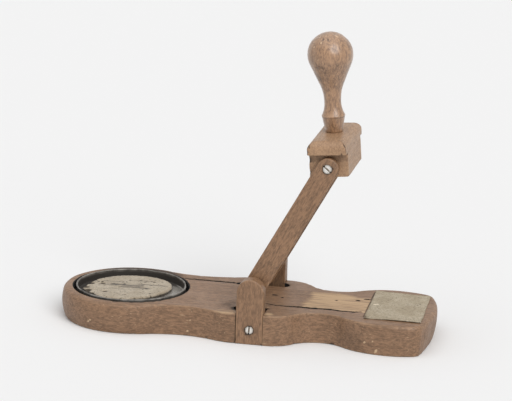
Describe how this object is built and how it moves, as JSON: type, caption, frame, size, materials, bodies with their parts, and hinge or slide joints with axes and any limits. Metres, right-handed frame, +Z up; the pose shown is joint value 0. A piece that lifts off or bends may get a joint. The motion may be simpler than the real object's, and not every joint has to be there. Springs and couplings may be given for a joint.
{
  "type": "hand lever stamp press",
  "caption": "Hand lever stamp press: a handled wooden press head on twin arms swings from a round ink tin to a papered bed on a violin-shaped board.",
  "frame": {"origin": "on the underside of the board, straight below the lever's pivot axis", "axes": "+X along the board towards the papered bed, +Y across the board towards the rear cheek, +Z up"},
  "size_m": [0.3104, 0.1134, 0.2479],
  "materials": {
    "board_wood": "worn, oiled, dull",
    "cheek_wood": "worn, dull",
    "arm_wood": "worn, dull",
    "head_wood": "planed, satin",
    "handle_wood": "turned, varnished, worn on the knob",
    "screw_steel": "bright, slotted",
    "rod_steel": "dull",
    "tin_sheet": "dark, inked and rusted tinplate",
    "pad_felt": "dry felt",
    "label_paper": "matt, aged, bare",
    "type_metal": "dull grey, blank"
  },
  "bodies": {
    "base": {"base_board": "board_wood", "front_cheek": "cheek_wood", "rear_cheek": "cheek_wood", "front_cheek_screw": "screw_steel", "rear_cheek_screw": "screw_steel", "ink_tin": "tin_sheet", "ink_pad": "pad_felt", "paper_label": "label_paper"},
    "lever": {"pivot_rod": "rod_steel", "front_arm": "arm_wood", "rear_arm": "arm_wood"},
    "head": {"press_head": "head_wood", "handle": "handle_wood", "type_plate": "type_metal", "front_arm_screw": "screw_steel", "rear_arm_screw": "screw_steel"}
  },
  "joints": [
    {"name": "lever_swing", "type": "hinge", "parent": "base", "child": "lever", "pos_m": [0, 0, 0.0424], "axis": [0, 1, 0], "range_deg": [-122.7, 63.7]},
    {"name": "head_swing", "type": "hinge", "parent": "lever", "child": "head", "pos_m": [0.05633, 0, 0.14529], "axis": [0, 1, 0], "range_deg": [-63.7, 122.7]}
  ],
  "couplings": [
    {"joint": "head_swing", "follows": "lever_swing", "ratio": -1}
  ]
}
